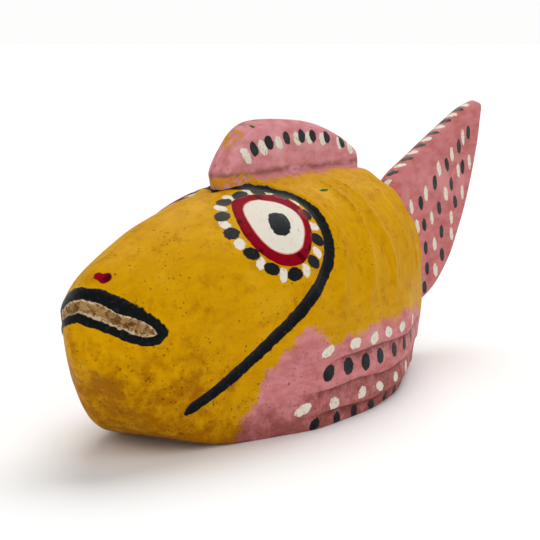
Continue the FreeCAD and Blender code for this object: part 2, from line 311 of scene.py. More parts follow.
def base_half_width(s):
    return station(HALF_WIDTH, s) * station(BASE_SHARE, s)


def half_profile(s):
    """The section from the top centre down the side to the edge of the underside."""
    top, half, widest, bottom = (station(c, s) for c in (TOP, HALF_WIDTH, WIDEST, UNDERSIDE))
    base = base_half_width(s)
    t = np.linspace(0, math.pi / 2, 400)
    power = 2 / np.interp(s, *ROUNDNESS)
    y = half * np.sin(t) ** power
    z = widest + (top - widest) * np.cos(t) ** power
    d = np.linspace(0, 1, 200)[1:]
    y = np.append(y, base + (half - base) * np.sqrt(1 - d * d))
    z = np.append(z, widest - (widest - bottom) * d)
    if bottom < 0:
        edge = np.interp(0, z[::-1], y[::-1])
        y, z = np.append(y[z > 0], edge), np.append(z[z > 0], 0)
    return y, z


def ring_stations():
    """Stations about RING_STEP apart along the skin, with one on each rib's crest."""
    fine = np.linspace(0, 1, 5000) ** 2 * BLOCK_END
    columns = [station(c, fine) for c in (TOP, HALF_WIDTH, UNDERSIDE)]
    run = np.max([np.abs(np.diff(c)) for c in columns], axis=0)
    step = np.where(fine[1:] < NOSE_REACH, NOSE_STEP, RING_STEP)
    length = np.append(0, np.cumsum(np.hypot(np.diff(fine), run) / step))
    rings = np.interp(np.linspace(0, length[-1], int(length[-1])), length, fine)
    for crest in RIB_CRESTS:
        rings[np.abs(rings - crest).argmin()] = crest
    return rings


def wander(s, size, seed):
    """A slow, hand-made wandering along the fish."""
    return size * (np.sin(s * 0.061 + seed) + 0.6 * np.sin(s * 0.143 + 2.3 * seed)) / 1.6


def block_grid():
    """Points of one half of the block, by ring and row, with each one's s and a."""
    rings = ring_stations()
    grid, edge_at = [], []
    for s in rings:
        y, z = half_profile(s)
        a = length_along(np.column_stack([y, z]))
        widest, bottom = station(WIDEST, s), max(station(UNDERSIDE, s), 0)
        edges = [h + wander(s, LAP_WANDER, k) for k, h in enumerate(LAP_EDGES)]
        heights = [bottom + (widest - bottom) * h / widest for h in edges]
        low = z < widest
        keys = [0] + [np.interp(-h, -z[low], a[low]) for h in heights] + [a[-1]]
        keys.append(a[-1] + y[-1])
        rows = [np.linspace(p, q, n, endpoint=False) for p, q, n in zip(keys, keys[1:], ROWS)]
        rows = np.append(np.concatenate(rows), keys[-1])
        edge_at.append(a[-1])
        a, y, z = np.append(a, keys[-1]), np.append(y, 0), np.append(z, z[-1])
        grid.append((np.interp(rows, a, y), np.interp(rows, a, z), rows))
    y, z, a = np.array(grid).transpose(1, 0, 2)
    return rings, y, z, a, np.array(edge_at)


def rib_relief(s, z, a):
    """Scooped hollows between the crests; the crests themselves stand full."""
    ends = np.array([RIBS_START] + RIB_CRESTS + [BLOCK_END + 12])
    k = np.clip(np.searchsorted(ends, s, side="right") - 1, 0, len(ends) - 2)
    phase = np.clip((s - ends[k]) / (ends[k + 1] - ends[k]), 0, 1)
    scoop = (4 * phase * (1 - phase)) ** 0.85 * np.where(k == 0, 0.5, 1.0)
    fade = smoothstep(RIB_FOOT, RIB_FULL, z) * smoothstep(7, 20, a) * (s > RIBS_START)
    lift = RIB_LIFT * smoothstep(RIBS_START, RIB_CRESTS[0], s)
    return (lift - RIB_DEPTH * scoop) * fade, (1 - scoop) * fade * (k > 0)


def lap_relief(s, z):
    """A step under each strip's lower edge that fades to the strip below, and the shade painted under
    that edge.
    """
    relief, shade = np.zeros_like(s), np.zeros_like(s)
    rear = (LAP_END - 18, LAP_END)
    lower = LAP_EDGES[1:] + [-4.0]
    for k, (edge, below, start) in enumerate(zip(LAP_EDGES, lower, LAP_STARTS)):
        down = (edge + wander(s, LAP_WANDER, k) - z) / (edge - below)
        ends = between(s, (start - 3, start + 22), rear)
        step = smoothstep(-0.01, 0.035, down) * np.clip(1 - down, 0, 1) ** 1.3
        relief -= LAP_DEPTHS[k] * step * ends
        shadow = smoothstep(-0.02, 0.03, down) * np.exp(-3 * down) * (down < 1)
        shade = np.maximum(shade, shadow * ends)
    strip = between(s, (RIBS_START, 130), rear)
    relief += LAP_LIFT * strip * between(z, (0, 4), (30, 42))
    return relief, shade


def mouth_fields(s, y, z):
    """Distance inside the black lips and inside the bare recess, from the front."""
    flat = np.column_stack([np.abs(y), z])
    fields = []
    for lines in ((LIPS_UPPER, LIPS_LOWER), (WOOD_UPPER, WOOD_LOWER)):
        upper, lower = (curve_through(line, steps=8) for line in lines)
        half = np.vstack([upper, lower[::-1]])
        outline = np.vstack([half, half[::-1] * (-1, 1)])
        fields.append(np.where(s < NOSE_REACH, area_field(flat, outline), FAR))
    return fields


def body_relief(ring, s, a, points):
    """Height of the carving above the plain block in mm, where it is worn, and where shade is
    painted under the laps and in the gill groove.
    """
    y, z = points.T[1:]
    ribs, crest = rib_relief(ring, z, a)
    laps, lap_shade = lap_relief(s, z)
    knife = 0.55 * noise_at(points, 24.0) + 0.16 * noise_at(points, 8.0)
    relief = ribs + laps * smoothstep(0, 2.5, z) + knife * smoothstep(0, 4, z)
    plan = np.column_stack([s, a])
    line = curve_through(GILL)
    gap, place = distance_to_line(plan, line)
    groove = np.exp(-(gap / 2.3) ** 2)
    nearest = line[np.clip(place.astype(int), 0, len(line) - 1)]
    behind = (s - nearest[:, 0]) * 0.8 - (a - nearest[:, 1]) * 0.6
    ridge = np.exp(-((gap - 4.0) / 2.2) ** 2) * (behind > 0) * (1 - smoothstep(42, 60, a))
    relief += GILL_RIDGE * ridge - GILL_GROOVE * groove
    eye = area_field(plan, curve_through(RING_OUTER, True))
    relief += EYE_STEP * smoothstep(-0.5, 1.5, eye) + EYE_SWELL * smoothstep(3, 14, eye)
    lips, wood = mouth_fields(s, y, z)
    relief += LIP_HEIGHT * smoothstep(-0.8, 1.6, lips) * (1 - smoothstep(-1.2, 0.2, wood))
    relief -= (MOUTH_DEPTH + 0.5 * noise_at(points, 2.6)) * smoothstep(-0.5, 2.2, wood)
    relief += FIN_MOUND * between(s, (88, 98), (208, 217)) * (1 - smoothstep(4, 15, a))
    # The last value is painted shade under the lap edges and in the gill groove.
    return relief, np.maximum(crest, ridge * 0.9), np.maximum(lap_shade, 0.7 * groove)


def surface_normals(points):
    """Outward normals of a grid of rings (rows run from the back down the left side)."""
    along = np.gradient(points, axis=0)
    around = np.roll(points, -1, axis=1) - np.roll(points, 1, axis=1)
    normal = np.cross(around, along)
    length = np.linalg.norm(normal, axis=2, keepdims=True)
    return normal / np.maximum(length, 1e-9)


def add_object(name, data):
    obj = bpy.data.objects.new(name, data)
    bpy.context.scene.collection.objects.link(obj)
    return obj


def mesh_object(name, points, faces):
    mesh = bpy.data.meshes.new(name)
    mesh.from_pydata((np.asarray(points) * MM).tolist(), [], faces)
    mesh.update()
    return add_object(name, mesh)


def clean(obj, gap=0.00002):
    """Joins vertices nearer than the gap, if there is one, and turns every face outwards."""
    bm = bmesh.new()
    bm.from_mesh(obj.data)
    if gap:
        bmesh.ops.remove_doubles(bm, verts=bm.verts, dist=gap)
        bmesh.ops.dissolve_degenerate(bm, edges=bm.edges, dist=1e-7)
    bmesh.ops.recalc_face_normals(bm, faces=bm.faces)
    bm.to_mesh(obj.data)
    bm.free()


def smooth(obj, angle):
    obj.data.shade_smooth()
    obj.data.set_sharp_from_angle(angle=math.radians(angle))


def tube_faces(rings, columns):
    """Quads between closed rings, with both ends left open."""
    faces = []
    for i in range(rings - 1):
        for j in range(columns):
            k = (j + 1) % columns
            faces.append((i * columns + j, i * columns + k,
                          (i + 1) * columns + k, (i + 1) * columns + j))
    return faces


def closing_faces(start, columns):
    """Faces across one end ring of the block, from the left side to the right one."""
    faces = []
    for j in range(columns // 2):
        quad = (j, j + 1, columns - j - 1, (columns - j) % columns)
        faces.append(tuple(start + k for k in dict.fromkeys(quad)))
    return faces


def vertices_mm(obj):
    co = np.empty(len(obj.data.vertices) * 3)
    obj.data.vertices.foreach_get("co", co)
    return co.reshape(-1, 3) / MM


def store(obj, **fields):
    """Keeps each field on the mesh's vertices, where the materials read it."""
    for name, values in fields.items():
        attribute = obj.data.attributes.new(name, "FLOAT", "POINT")
        attribute.data.foreach_set("value", np.full(len(obj.data.vertices), values, np.float32))


def cut(obj, cutter):
    modifier = obj.modifiers.new("cut", "BOOLEAN")
    modifier.operation = "DIFFERENCE"
    modifier.solver = "MANIFOLD"
    modifier.object = cutter
    bpy.context.view_layer.update()
    graph = bpy.context.evaluated_depsgraph_get()
    mesh = bpy.data.meshes.new_from_object(obj.evaluated_get(graph))
    obj.modifiers.clear()
    old = obj.data
    if len(mesh.vertices) == len(old.vertices):
        raise RuntimeError("the cut changed nothing: " + cutter.name)
    obj.data = mesh
    bpy.data.meshes.remove(old)
    bpy.data.objects.remove(cutter)


# ---- cutters
RIM, LEDGE = 7.0, 5.0
BOARD_FRONT, BOARD_REAR = 72.0, 200.0
BOARD_RECESS, BOARD_TOP = 1.0, 6.0
SOUND_HOLES, SOUND_HOLE_RADIUS = [106, 166], 14.5
PIN_STATIONS, PIN_RADIUS = [86, 119, 152, 185], 1.5
CHAMBER_SHOULDER, CHAMBER_TOP, DOME_INSET = 40.0, 72.0, 10.0
BORE_ENDS, BORE_HEIGHT, BORE_RADIUS = (58, BLOCK_END + 20), 15, 4.7


def board_ring(inset, z):
    """The belly board's outline, inset, at one height."""
    s = np.linspace(BOARD_FRONT + inset, BOARD_REAR - inset, 24)
    half = base_half_width(s) - RIM - inset
    right = np.column_stack([NOSE_X + s, half, np.full(24, z)])
    return np.vstack([right, right[::-1] * (1, -1, 1)])


def prism(name, *stacks):
    """A closed solid for each stack of rings, capped flat at both ends, in one mesh."""
    points, faces = [], []
    for levels in stacks:
        start, columns = len(points), len(levels[0])
        faces += [tuple(start + k for k in face) for face in tube_faces(len(levels), columns)]
        last = start + (len(levels) - 1) * columns
        faces.append(tuple(range(start, start + columns))[::-1])
        faces.append(tuple(range(last, last + columns)))
        points += list(np.vstack(levels))
    obj = mesh_object(name, points, faces)
    clean(obj)
    return obj


def circle(centre, radius, axis, columns):
    """A ring of points round an axis, 0 to 2 for x to z, through centre."""
    turn = np.linspace(0, 2 * math.pi, columns, endpoint=False)
    points = np.tile(np.array(centre, float), (columns, 1))
    across, up = (k for k in range(3) if k != axis)
    points[:, across] += radius * np.cos(turn)
    points[:, up] += radius * np.sin(turn)
    return points


def body_cutters():
    chamber = [board_ring(LEDGE, -3), board_ring(LEDGE, CHAMBER_SHOULDER)]
    for share in (0.35, 0.7, 0.9, 1.0):
        height = CHAMBER_SHOULDER + (CHAMBER_TOP - CHAMBER_SHOULDER) * share
        chamber.append(board_ring(LEDGE + DOME_INSET * rounding(share), height))
    bore = [circle((NOSE_X + s, 0, BORE_HEIGHT), BORE_RADIUS, 0, 48) for s in BORE_ENDS]
    return [prism("cut_seat", [board_ring(0, -4), board_ring(0, BOARD_TOP)]),
            prism("cut_chamber", chamber),
            prism("cut_bore", bore)]


# ---- the body
def body_points():
    """The closed skin as rings of points, with s and a for each."""
    rings, y, z, a, edge = block_grid()
    ring = np.repeat(rings[:, None], y.shape[1], axis=1)
    sway = between(ring, (100, 117), (240, 250)) * smoothstep(36, 50, z)
    lean = 0.45 * (z - 60) * (1 - smoothstep(128, 165, ring))
    hand = 1.5 * np.sin(z * 0.11 + ring * 0.05) + 0.5 * np.sin(z * 0.31 + ring * 0.2)
    s = ring + sway * (lean + hand)
    for j in range(y.shape[1]):
        y[:, j], z[:, j] = (np.interp(s[:, j], rings, g[:, j]) for g in (y, z))
    half = np.stack([NOSE_X + s, -y, z], axis=2)
    points = np.concatenate([half, half[:, -2:0:-1] * (1, -1, 1)], axis=1)
    ring, s, a = (np.concatenate([g, g[:, -2:0:-1]], axis=1) for g in (ring, s, a))
    return points, ring, s, a, edge


def cap_rings(ring, bulge):
    """Rings that round one end of the block in a shallow cushion."""
    shares = np.linspace(1, 0, CAP_RINGS, endpoint=False)[1:]
    return [ring * (1, share, 1) + (bulge * (1 - share ** 2), 0, 0) for share in shares]


def make_body():
    points, ring, s, a, edge = body_points()
    normals = surface_normals(points)
    relief, worn, dirt = body_relief(ring.ravel(), s.ravel(), a.ravel(), points.reshape(-1, 3))
    carved = points + normals * relief.reshape(s.shape)[..., None]
    carved[..., 2] = np.maximum(carved[..., 2], np.where(points[..., 2] > 1e-6, 0.02, 0))
    rings = cap_rings(carved[0], -0.25)[::-1] + list(carved) + cap_rings(carved[-1], 1.0)
    columns = carved.shape[1]
    faces = tube_faces(len(rings), columns) + closing_faces(0, columns)
    faces += closing_faces((len(rings) - 1) * columns, columns)
    body = mesh_object("carved_body", np.vstack(rings), faces)
    clean(body, 0)
    for cutter in body_cutters():
        cut(body, cutter)
    paint_body(body, carved, s, a, edge, worn, dirt)
    smooth(body, 40)
    return body


def nearest_grid(body, carved):
    """For each vertex the nearest point of the carved grid, and how far away it is."""
    flat = carved.reshape(-1, 3)
    tree = KDTree(len(flat))
    for k, p in enumerate(flat):
        tree.insert(p, k)
    tree.balance()
    found = [tree.find(p) for p in vertices_mm(body)]
    return np.array([f[1] for f in found]), np.array([f[2] for f in found])


def paint_body(body, carved, s, a, edge, worn, dirt):
    index, gap = nearest_grid(body, carved)
    s, a = s.ravel()[index], a.ravel()[index]
    x, y, z = vertices_mm(body).T
    along = x - NOSE_X
    inner = (gap > SKIN_GAP) & (along > 50) & (along < BLOCK_END - 0.5)
    past_edge = a - np.interp(s, ring_stations(), edge)
    plan, side = np.column_stack([s, a]), np.column_stack([s, z])
    dabs = {}
    for colour, rows in FLANK_DABS.items():
        marks = join(eye_marks(plan, colour) + flank_dabs(side, rows))
        dabs[colour] = np.minimum(marks, 3 - past_edge)
    outlines = (RING_OUTER, RING_INNER, PUPIL)
    ring, cream, pupil = (area_field(plan, curve_through(line, True)) for line in outlines)
    nostril = area_field(np.column_stack([y, z]), curve_through(NOSTRIL, True))
    lips, wood = mouth_fields(s, y, z)
    # Where shade is painted: over the chin, and low down, fading out from 5 to 20 mm up
    chin = (1 - smoothstep(22, 52, z)) * (1 - smoothstep(25, 75, s))
    store(body, **dabs, cream=cream, pupil=pupil, raw=wood, worn=worn[index], dirt=dirt[index],
          pink=join([area_field(plan, np.array(PINK_EDGE, float), 60), fin_foot(s, a)]),
          red=join([ring, np.where(s < 20, nostril, FAR)]),
          line=join([gill_field(plan), lips]),
          fleck=dab_field(plan, *BODY_FLECK),
          soil=np.maximum(chin, 1 - smoothstep(5, 20, z)),
          ribs=smoothstep(108, 124, s) * (1 - smoothstep(60, 78, a)),
          bare=np.where(inner, 10.0, np.minimum(past_edge - 2.5, 6 * (0.7 - z))))


def gill_field(plan):
    gap, place = distance_to_line(plan, curve_through(GILL))
    return np.maximum(np.interp(place / CURVE_STEPS, *GILL_HALF) - gap, FAR)


def fin_foot(s, a):
    """The pink strip on the back along the foot of the dorsal fin."""
    reach = np.interp(s, [98, 112, 160, 211], [5, 7.6, 7, 5.2]) + wander(s, 0.5, 4)
    ends = np.minimum(s - 101, 212 - s)
    return np.minimum(reach - a, ends)


def eye_marks(plan, colour):
    fields = []
    for k, (s, a, long, short, tilt) in enumerate(EYE_BLACKS):
        if colour == "black":
            fields.append(dab_field(plan, (s, a), long, short + unevenness(k, 0.4), tilt))
            continue
        after = EYE_BLACKS[(k + 1) % len(EYE_BLACKS)]
        place = (np.array([s, a]) + after[:2]) / 2
        out = (place - EYE_CENTRE) / np.linalg.norm(place - EYE_CENTRE)
        tilt = math.degrees(math.atan2(out[1], out[0]))
        fields.append(dab_field(plan, place + out * 1.2, 5.8, 4.4 + unevenness(k + 20, 0.4), tilt))
    return fields


def flank_dabs(side, rows):
    fields = []
    for row, (height, first, gaps, *sizes) in enumerate(rows):
        places = np.append(first, first + np.cumsum(gaps))
        start, stop = np.array(sizes)
        for k, s in enumerate(places):
            long, short = start + (stop - start) * k / len(places)
            long *= 1 + unevenness(k + 9 * row, 0.12)
            short *= 1 + unevenness(k + 9 * row + 40, 0.12)
            place = (s, height + unevenness(k + 80 + row, 0.7))
            fields.append(dab_field(side, place, long, short, unevenness(k + 60, 15) + 8))
    return fields


# ---- the fins
def leaf(name, lower, upper, rows, half_thickness, rounded, radius):
    """A board between two lines in side view, with the rounded part of its outline eased.

    Half its thickness and the radius of its edge are functions of s and z. The board comes
    with each vertex's s and z.
    """
    share = (1 - np.cos(np.linspace(0, math.pi, rows))) / 2
    share = (0.5 * share + 0.5 * np.linspace(0, 1, rows))[None, :, None]
    flat = lower[:, None] * (1 - share) + upper[:, None] * share
    s, z = flat[..., 0].ravel(), flat[..., 1].ravel()
    gap = distance_to_line(np.column_stack([s, z]), rounded)[0]
    edge = np.clip(gap / radius(s, z), 0, 1)
    half = half_thickness(s, z) * np.sqrt(1 - (1 - edge) ** 2)
    bumps = noise_at(np.column_stack([s, z, np.full(len(s), 3.0)]), 15) * 0.5
    y = np.maximum(half + bumps * edge, 0)
    sheets = [np.column_stack([NOSE_X + s, way * y, z]) for way in (-1, 1)]
    grid = np.arange(len(s)).reshape(-1, rows)
    faces = []
    for p in grid[:-1, :-1].ravel().tolist():
        quad = (p, p + rows, p + rows + 1, p + 1)
        faces += [quad, tuple(k + len(s) for k in reversed(quad))]
    border = np.concatenate([grid[:, 0], grid[-1], grid[::-1, -1], grid[0, ::-1]]).tolist()
    for p, q in zip(border, border[1:]):
        if p != q:
            faces.append((p, q, q + len(s), p + len(s)))
    obj = mesh_object(name, np.vstack(sheets), faces)
    clean(obj)
    smooth(obj, 50)
    side = vertices_mm(obj)[:, ::2] - (NOSE_X, 0)
    store(obj, worn=np.exp(-distance_to_line(side, rounded)[0] / 1.2))
    return obj, side


def spaced(line, count):
    length = length_along(line)
    places = np.linspace(0, length[-1], count)
    return np.column_stack([np.interp(places, length, line[:, k]) for k in (0, 1)])


def make_dorsal_fin():
    outline = curve_through(FIN_TOP_LINE, steps=FINE_STEPS)
    upper = spaced(outline, FIN_COLUMNS)
    front, foot = FIN_TOP_LINE[0]
    rear = FIN_TOP_LINE[-1][0]
    even = np.linspace(front, rear, FIN_COLUMNS)
    under = 0.35 * even + 0.65 * np.clip(upper[:, 0], front, rear)
    lower = np.column_stack([under, np.full(FIN_COLUMNS, foot)])

    def half(s, z):
        thick = np.interp(s, *FIN_HALF) * np.interp(z, *FIN_THINNING)
        flare = 1.6 * np.exp(-np.maximum(z - 93, 0) / 2.2) * (1 - smoothstep(190, 208, s))
        return thick + flare * smoothstep(97, 108, s)

    def radius(s, z):
        return 5 + 5 * (1 - smoothstep(92, 108, s)) * (1 - smoothstep(92, 99, z))
    fin, side = leaf("dorsal_fin_board", lower, upper, FIN_ROWS, half, outline, radius)
    dabs_line = curve_through(FIN_DABS_LINE)
    marks = {}
    for colour, (places, size, lift) in FIN_DABS.items():
        dabs = []
        for k, s in enumerate(places):
            height = np.interp(s, *dabs_line.T) + lift
            long = size[0] * np.interp(s, [104, 195], [1.05, 0.8])
            dabs.append(dab_field(side, (s, height), long, size[1] + unevenness(k, 0.5), -34))
        marks[colour] = join(dabs)
    # Painted shade in a band along the crease at the fin's foot
    crease = np.exp(-((side[:, 1] - np.interp(side[:, 0], *FIN_CREASE)) / 1.3) ** 2)
    store(fin, **marks, dirt=crease, fleck=dab_field(side, *FIN_FLECK),
          smear=join([dab_field(side, *smear) for smear in FIN_SMEARS]))
    return fin


def make_tail_fin():
    front_edge = curve_through(TAIL_FRONT, steps=FINE_STEPS)
    rear_edge = curve_through(TAIL_REAR, steps=FINE_STEPS)
    edges = [np.vstack([line, TAIL_TIP]) for line in (front_edge, rear_edge)]
    front, rear = (spaced(line, TAIL_COLUMNS) for line in edges)
    rounded = np.vstack([front[8:], rear[::-1][:-4]])
    fin, side = leaf("tail_fin_board", rear, front, TAIL_ROWS,
                     lambda s, z: np.interp(s, *TAIL_HALF), rounded, lambda s, z: 4.0)
    marks = {}
    for colour, (size, places) in TAIL_DABS.items():
        marks[colour] = []
        for k, place in enumerate(places):
            tilt = 111 + unevenness(k + len(colour), 9)
            long = size[0] * np.interp(place[1], [30, 100], [0.9, 1.05])
            marks[colour].append(dab_field(side, place, long, size[1] + unevenness(k, 0.5), tilt))
    gap, along = distance_to_line(side, front_edge)
    length = length_along(front_edge)
    run = np.interp(along, np.arange(len(length)), length)
    strip = np.column_stack([run, vertices_mm(fin)[:, 1]])
    ends = np.interp(TAIL_EDGE_ENDS, front_edge[:, 0], length)
    for k, place in enumerate(np.linspace(*ends, TAIL_EDGE_MARKS)):
        stroke = dab_field(strip, (place, -0.4), 7.8, 3.1, -27 + unevenness(k, 5))
        marks[("white", "black")[k % 2]].append(np.where(gap < 5, stroke, FAR))
    store(fin, white=join(marks["white"]), black=join(marks["black"]), dirt=0, smear=FAR, fleck=FAR)
    return fin


# ---- the smaller pieces
def make_scraper():
    """A whittled stick: long knife flats, a tapered point and a rounded grip end."""
    low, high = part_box("scraper")
    front, rear = low.x / MM - NOSE_X, high.x / MM - NOSE_X
    height = (low.z + high.z) / 2 / MM
    turn = np.linspace(0, 2 * math.pi, STICK_COLUMNS, endpoint=False)
    stations = [np.linspace(front, front + POINT_LENGTH, 5),
                np.linspace(front + 3, rear - 4, 110),
                rear - GRIP_LENGTH * (1 - np.linspace(0, 1, 9)) ** 1.6]
    rings = []
    for s in np.concatenate(stations):
        radius = np.interp(s, [front, front + 30], STICK_RADII)
        point = np.clip((s - front) / POINT_LENGTH, 0, 1)
        grip = np.clip((rear - s) / GRIP_LENGTH, 0, 1)
        radius -= 1.2 * rounding(1 - point) + 2.4 * rounding(1 - grip)
        flats = 0.035 * np.abs(np.sin(turn * 4.5 + 0.4 * math.sin(s / 31)))
        rings.append(circle((NOSE_X + s, 0, height), radius * (1 - flats), 0, STICK_COLUMNS))
    stick = prism("whittled_stick", rings)
    smooth(stick, 50)
    return stick


def turned(s, y, profile, columns):
    """Rings round an upright axis: profile gives each one's radius and height."""
    return [circle((NOSE_X + s, y, z), radius, 2, columns) for radius, z in profile]


def make_belly_board():
    """The board, its edges and finger holes eased, with a hole for each pin."""
    low, high = BOARD_RECESS, BOARD_TOP
    edge = [(0.7, low), (0.2, low + 0.2), (0, low + 0.7)]
    edge += [(0, high - 0.7), (0.2, high - 0.2), (0.7, high)]
    board = prism("eased_board", [board_ring(inset, z) for inset, z in edge])
    mouth = [(0.9, low - 1), (0.9, low), (0.25, low + 0.25), (0, low + 0.9)]
    mouth += [(0, high - 0.9), (0.25, high - 0.25), (0.9, high), (0.9, high + 1)]
    profile = [(SOUND_HOLE_RADIUS + ease, z) for ease, z in mouth]
    holes = [turned(s, 0, profile, 64) for s in SOUND_HOLES]
    for s in PIN_STATIONS:
        y = base_half_width(s) - RIM - LEDGE / 2
        for side in (-y, y):
            holes.append(turned(s, side, [(PIN_RADIUS, low - 1), (PIN_RADIUS, high + 1)], 32))
    cut(board, prism("cut_board_holes", *holes))
    smooth(board, 15)
    return board


def make_pegs():
    """Two pegs through the tail's tenon, their ends domed and just proud of the wood."""
    low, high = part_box("tail_fin_pegs")
    x, full = (low.x + high.x) / 2 / MM, (high.x - low.x) / 2 / MM
    stacks = []
    for height, half in TAIL_PEGS:
        dome = [(full * share, -half - 0.5 * (1 - share ** 2)) for share in (0.25, 0.6, 0.85, 0.97, 1)]
        rings = dome + [(radius, -y) for radius, y in reversed(dome)]
        stacks.append([circle((x, y, height), radius, 1, 28) for radius, y in rings])
    pegs = prism("tail_pegs", *stacks)
    smooth(pegs, 50)
    return pegs


# ---- materials
YELLOW, YELLOW_DEEP, YELLOW_PALE = (0.61, 0.305, 0.0015), (0.51, 0.24, 0.001), (0.68, 0.38, 0.012)
PINK, PINK_DEEP, PINK_PALE = (0.60, 0.225, 0.235), (0.49, 0.155, 0.15), (0.67, 0.30, 0.31)
WORN = (0.68, 0.41, 0.10)
# Browns for stains, smudges and pores, and for painted shade low down, in hollows, along the fin's
# crease
STAIN_AND_SHADE, PINK_STAIN_AND_SHADE = (0.27, 0.085, 0.002), (0.24, 0.062, 0.046)
DIRT_AND_SHADE_BROWN, PINK_DIRT_AND_SHADE = (0.13, 0.038, 0.005), (0.15, 0.036, 0.026)
# BLACK_GREY streaks the black paint: partly worn paint, partly painted sheen
BLACK, BLACK_GREY = (0.006, 0.007, 0.008), (0.05, 0.054, 0.058)
CREAM, CREAM_DIRTY = (0.72, 0.67, 0.57), (0.50, 0.36, 0.19)
RED, RED_DARK = (0.24, 0.001, 0.010), (0.08, 0.001, 0.004)
RAW_WOOD, RAW_WOOD_DARK, RAW_WOOD_PALE = (0.42, 0.25, 0.10), (0.12, 0.05, 0.014), (0.66, 0.49, 0.31)
GREEN = (0.01, 0.10, 0.01)
# The dorsal fin's pinks are lighter than the body's pink: painted light on the fish's top
DORSAL_PINKS = (0.65, 0.265, 0.29), (0.53, 0.18, 0.18), (0.71, 0.34, 0.37)
TAIL_PINKS = (0.56, 0.185, 0.19), (0.45, 0.125, 0.12), (0.62, 0.24, 0.245)
RIM_PINK, FIN_BROWN = (0.62, 0.25, 0.20), (0.42, 0.15, 0.08)
FIN_WORN, OCHRE_SMEAR = (0.24, 0.13, 0.10), (0.55, 0.24, 0.01)
# Plain woods, pale and dark
INSIDE_WOODS = (0.50, 0.33, 0.17), (0.30, 0.17, 0.07)
BOARD_WOODS = (0.52, 0.35, 0.19), (0.34, 0.20, 0.09)
PEG_WOODS = (0.42, 0.27, 0.14), (0.24, 0.13, 0.06)
STICK_WOODS = (0.58, 0.42, 0.24), (0.40, 0.25, 0.12)
PAINT_SHINE, INK_SHINE, WOOD_SHINE = 0.02, 0.16, 0.2
DAB_THICKNESS = 0.16  # in mm
EDGE_BLUR = 0.16  # how soft a painted edge is, in mm
RIM_WIDTH = 0.45  # of the pink that shows round the eye's cream, in mm


class Surface:
    """The nodes of a new material or world, whose colours and heights are laid in layers."""

    def __init__(self, owners, name):
        self.owner = owners.new(name)
        self.owner.use_nodes = True
        self.tree = self.owner.node_tree
        self.places = self.node("ShaderNodeTexCoord").outputs

    def node(self, kind, inputs=(), **settings):
        made = self.tree.nodes.new(kind)
        for key, value in settings.items():
            setattr(made, key, value)
        self.feed(made, inputs)
        return made

    def feed(self, node, inputs):
        for key, value in dict(inputs).items():
            socket = node.inputs[key]
            if isinstance(value, bpy.types.NodeSocket):
                self.tree.links.new(value, socket)
            elif socket.type == "RGBA":
                socket.default_value = (*value, 1)
            else:
                socket.default_value = value

    def math(self, operation, a, b, c=0.0):
        return self.node("ShaderNodeMath", {0: a, 1: b, 2: c}, operation=operation).outputs[0]

    def times(self, a, b):
        return self.math("MULTIPLY", a, b)

    def most(self, a, b):
        return self.math("MAXIMUM", a, b)

    def plus(self, base, value, amount):
        return self.math("MULTIPLY_ADD", value, amount, base)

    def jitter(self, base, noise, amount):
        """base, moved up and down by the noise."""
        return self.plus(base, self.math("SUBTRACT", noise, 0.5), amount)

    def field(self, name):
        return self.node("ShaderNodeAttribute", attribute_name=name).outputs["Fac"]

    def stretched(self, stretch, shift):
        inputs = {"Vector": self.places["Object"], "Scale": stretch,
                  "Location": (shift, shift * 0.7, shift * 0.3)}
        return self.node("ShaderNodeMapping", inputs).outputs[0]

    def noise(self, size, detail=3.0, stretch=(1, 1, 1), shift=0.0, rough=0.55, warp=0.0):
        """Noise from about 0 to 1 with features of that size in mm."""
        inputs = {"Vector": self.stretched(stretch, shift), "Scale": 1 / MM / size,
                  "Detail": detail, "Roughness": rough, "Distortion": warp}
        return self.node("ShaderNodeTexNoise", inputs).outputs["Fac"]

    def step(self, value, low, high, to_low=0.0, to_high=1.0):
        inputs = {"Value": value, "From Min": low, "From Max": high,
                  "To Min": to_low, "To Max": to_high}
        made = self.node("ShaderNodeMapRange", inputs, interpolation_type="SMOOTHSTEP")
        return made.outputs["Result"]

    def mix(self, share, a, b):
        return self.node("ShaderNodeMix", {0: share, 6: a, 7: b}, data_type="RGBA").outputs[2]

    def cover(self, colour, *layers):
        """The colour under layers of paint: where each one is, how strongly, and its colour."""
        for where, strength, paint in layers:
            colour = self.mix(self.times(where, strength), colour, paint)
        return colour

    def ragged(self, name, jitter, size, blur=EDGE_BLUR):
        """A painted area from its distance field, with a hand-made edge."""
        wobble = self.noise(size, shift=len(name) * 1.7)
        return self.step(self.jitter(self.field(name), wobble, jitter * 2), -blur, blur)

    def spots(self, size, share, shift=0.0):
        """Small scattered pores: size of their cells in mm, and how much of a cell they fill."""
        inputs = {"Vector": self.stretched((1, 1, 1), shift), "Scale": 1 / MM / size}
        cells = self.node("ShaderNodeTexVoronoi", inputs)
        tint = self.node("ShaderNodeSeparateColor", {0: cells.outputs["Color"]}).outputs[0]
        spot = self.step(cells.outputs["Distance"], share * 0.5, share, 1.0, 0.0)
        return self.times(spot, self.step(tint, 0.55, 0.6))

    def finish(self, colour, roughness, height, shine):
        """height is in mm."""
        bump = self.node("ShaderNodeBump", {"Height": height, "Distance": MM, "Strength": 1.0})
        self.feed(self.tree.nodes["Principled BSDF"],
                  {"Base Color": colour, "Specular Tint": colour, "Roughness": roughness,
                   "Specular IOR Level": shine, "Normal": bump.outputs[0]})
        return self.owner


def paint_layers(m, colour, height):
    """The black and white dabs over a ground colour, with their thickness in mm."""
    white, black = m.ragged("white", 0.8, 1.7), m.ragged("black", 0.64, 1.5)
    mottle = m.noise(1.4, 4.0)
    cream = m.mix(m.step(mottle, 0.54, 0.7), CREAM, CREAM_DIRTY)
    # Grey in the black dabs: partly worn paint, partly painted sheen
    ink = m.mix(m.step(mottle, 0.55, 0.75, 0.0, 0.4), BLACK, BLACK_GREY)
    colour = m.mix(black, m.mix(white, colour, cream), ink)
    return colour, m.plus(height, m.most(white, black), DAB_THICKNESS), black


